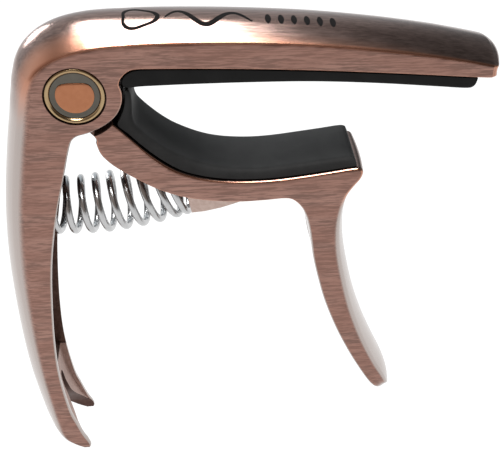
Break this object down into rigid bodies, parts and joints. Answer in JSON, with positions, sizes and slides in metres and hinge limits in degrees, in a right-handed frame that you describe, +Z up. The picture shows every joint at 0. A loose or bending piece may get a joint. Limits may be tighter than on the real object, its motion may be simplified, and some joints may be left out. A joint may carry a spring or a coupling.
{
  "type": "guitar capo",
  "caption": "Trigger capo with a fixed padded arm, a hollow grip ending in a pin-pulling fork, and a spring-closed padded jaw worked by a curved trigger.",
  "frame": {"origin": "centre of the overall box", "axes": "+X from the pivot towards the arm's tip, +Y across the width to the far side, +Z up from the grip's fork to the arm's crown"},
  "size_m": [0.0942, 0.015, 0.1016],
  "materials": {
    "frame_metal": "brushed copper-rose plating, polished on the arm's crown",
    "jaw_metal": "brushed copper-rose plating",
    "upper_silicone": "matt moulded silicone",
    "lower_silicone": "matt moulded silicone",
    "spring_wire": "plated spring wire",
    "pin_steel": "turned steel",
    "spacer_plastic": "plain nylon",
    "cap_rim_metal": "polished rolled edge",
    "cap_dish_metal": "polished dish, nickel tone",
    "cap_plug_metal": "polished copper tone"
  },
  "bodies": {
    "frame_body": {"frame": "frame_metal", "upper_pad": "upper_silicone", "pivot_pin": "pin_steel", "cap_rim_near": "cap_rim_metal", "cap_rim_far": "cap_rim_metal", "cap_dish_near": "cap_dish_metal", "cap_dish_far": "cap_dish_metal", "cap_plug_near": "cap_plug_metal", "cap_plug_far": "cap_plug_metal", "spring": "spring_wire"},
    "jaw_body": {"jaw_lever": "jaw_metal", "lower_pad": "lower_silicone", "spacer_near": "spacer_plastic", "spacer_far": "spacer_plastic"}
  },
  "joints": [
    {"name": "jaw_hinge", "type": "hinge", "parent": "frame_body", "child": "jaw_body", "pos_m": [-0.02959, 0, 0.03829], "axis": [0, 1, 0], "range_deg": [0, 22], "stiffness_Nm_per_rad": 0.6, "springref_deg": -34.38, "deforming": ["spring"]}
  ]
}
